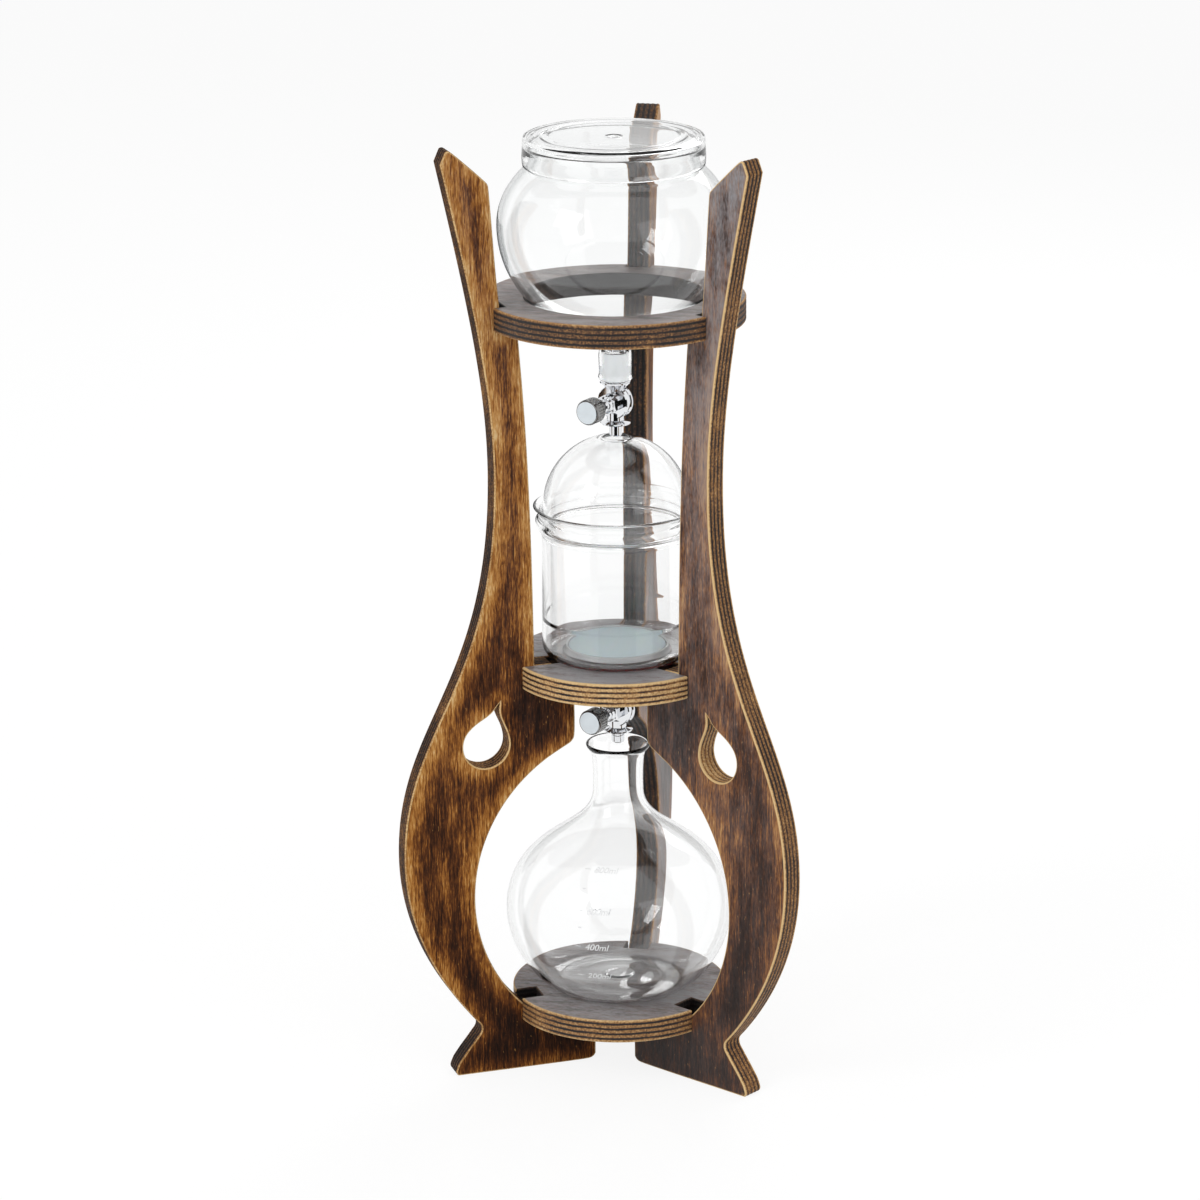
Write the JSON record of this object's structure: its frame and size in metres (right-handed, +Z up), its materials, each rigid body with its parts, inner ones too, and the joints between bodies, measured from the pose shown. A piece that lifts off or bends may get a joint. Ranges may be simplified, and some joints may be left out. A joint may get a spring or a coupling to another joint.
{
  "type": "cold drip coffee tower",
  "caption": "Cold drip coffee tower: plywood legs and round shelves carry a lidded glass water bowl with a drip valve, a domed coffee cylinder with its own valve, and a round glass flask.",
  "frame": {"origin": "on the tower's vertical axis, in the plane of the floor that the legs stand on", "axes": "+Z up along the tower's axis; the back leg stands on +Y and the open front, where the flask comes out, faces -Y"},
  "size_m": [0.2566, 0.2248, 0.6014],
  "materials": {
    "leg_plywood": "torched birch plywood with sanded golden edges, oiled satin",
    "shelf_plywood": "torched birch plywood, satin lacquer, striped edge",
    "clear_glass": "blown borosilicate glass, polished",
    "lid_glass": "pressed clear glass, polished",
    "sintered_glass": "white sintered glass, matt and porous",
    "clear_silicone": "milky clear silicone, soft sheen",
    "joint_sleeve": "white fluoropolymer film, matt",
    "chrome": "polished stainless steel",
    "spindle_steel": "turned and ground",
    "knob_steel": "grooved side, turned and brushed face",
    "screw_steel": "blackened, hexagon socket",
    "seal_rubber": "black nitrile ring"
  },
  "bodies": {
    "stand": {"leg_back": "leg_plywood", "leg_left": "leg_plywood", "leg_right": "leg_plywood", "top_shelf": "shelf_plywood", "middle_shelf": "shelf_plywood", "bottom_shelf": "shelf_plywood"},
    "water_bowl": {"water_bowl": "clear_glass", "upper_joint_sleeve": "joint_sleeve", "upper_joint_plug": "chrome", "upper_valve_body": "chrome", "upper_nozzle": "chrome", "upper_gland_nut": "chrome"},
    "upper_seal": {"upper_spindle_seal": "seal_rubber"},
    "upper_needle": {"upper_spindle": "spindle_steel", "upper_knob": "knob_steel", "upper_knob_screw": "screw_steel"},
    "lid": {"water_lid": "lid_glass"},
    "coffee_cylinder": {"coffee_cylinder": "clear_glass", "coffee_filter": "sintered_glass", "filter_ring": "clear_silicone", "lower_joint_sleeve": "joint_sleeve", "lower_joint_plug": "chrome", "lower_valve_body": "chrome", "lower_nozzle": "chrome", "lower_gland_nut": "chrome"},
    "lower_seal": {"lower_spindle_seal": "seal_rubber"},
    "lower_needle": {"lower_spindle": "spindle_steel", "lower_knob": "knob_steel", "lower_knob_screw": "screw_steel"},
    "dome": {"dome_cover": "clear_glass"},
    "flask": {"flask": "clear_glass"}
  },
  "joints": [
    {"name": "bowl_lift", "type": "slide", "parent": "stand", "child": "water_bowl", "axis": [0, 0, 1], "range_m": [0, 0.195]},
    {"name": "lid_lift", "type": "slide", "parent": "water_bowl", "child": "lid", "axis": [0, 0, 1], "range_m": [0, 0.08]},
    {"name": "upper_seal_travel", "type": "slide", "parent": "water_bowl", "child": "upper_seal", "axis": [-0.342, -0.9397, 0], "range_m": [0, 0.00112]},
    {"name": "upper_knob_turn", "type": "hinge", "parent": "upper_seal", "child": "upper_needle", "pos_m": [0, 0, 0.4337], "axis": [-0.342, -0.9397, 0], "range_deg": [0, 540]},
    {"name": "coffee_lift", "type": "slide", "parent": "stand", "child": "coffee_cylinder", "axis": [0, 0, 1], "range_m": [0, 0.003]},
    {"name": "lower_seal_travel", "type": "slide", "parent": "coffee_cylinder", "child": "lower_seal", "axis": [-0.342, -0.9397, 0], "range_m": [0, 0.00112]},
    {"name": "lower_knob_turn", "type": "hinge", "parent": "lower_seal", "child": "lower_needle", "pos_m": [0, 0, 0.2328], "axis": [-0.342, -0.9397, 0], "range_deg": [0, 540]},
    {"name": "dome_lift", "type": "slide", "parent": "coffee_cylinder", "child": "dome", "axis": [0, 0, 1], "range_m": [0, 0.003]},
    {"name": "flask_slide", "type": "slide", "parent": "stand", "child": "flask", "axis": [0, -1, 0], "range_m": [0, 0.18]}
  ],
  "couplings": [
    {"joint": "upper_knob_turn", "follows": "upper_seal_travel", "rad_per_m": 8377.6},
    {"joint": "lower_knob_turn", "follows": "lower_seal_travel", "rad_per_m": 8377.6}
  ]
}
